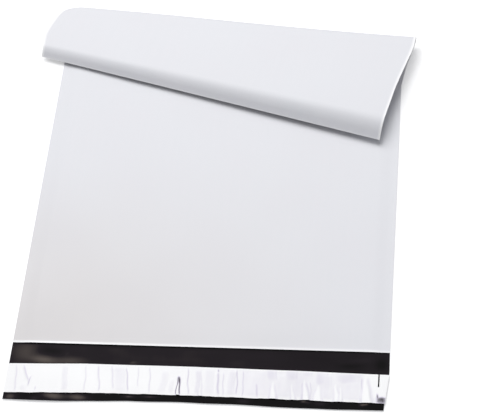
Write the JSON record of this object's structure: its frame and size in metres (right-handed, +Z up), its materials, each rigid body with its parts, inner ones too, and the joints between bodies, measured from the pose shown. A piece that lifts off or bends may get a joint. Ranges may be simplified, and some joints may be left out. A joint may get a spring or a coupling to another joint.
{
  "type": "poly mailer",
  "caption": "Flat film shipping bag lying on its back, flap open with a covered adhesive line, closed end rolled up and over the front.",
  "frame": {"origin": "middle of the mouth, on the back wall's outer face, which lies on the floor", "axes": "+Z up; +Y along the bag from the mouth to the rolled end; +X to the right, the wide side of the roll"},
  "size_m": [0.4031, 0.4624, 0.0186],
  "materials": {
    "white_film": "satin white polyethylene film, black on its inner face",
    "hot_melt_adhesive": "tacky, slightly yellow",
    "liner_paper": "white, silicone coated, lightly wrinkled"
  },
  "bodies": {
    "root": {"mailer_film": "white_film", "adhesive_line": "hot_melt_adhesive", "release_liner": "liner_paper"}
  },
  "joints": []
}
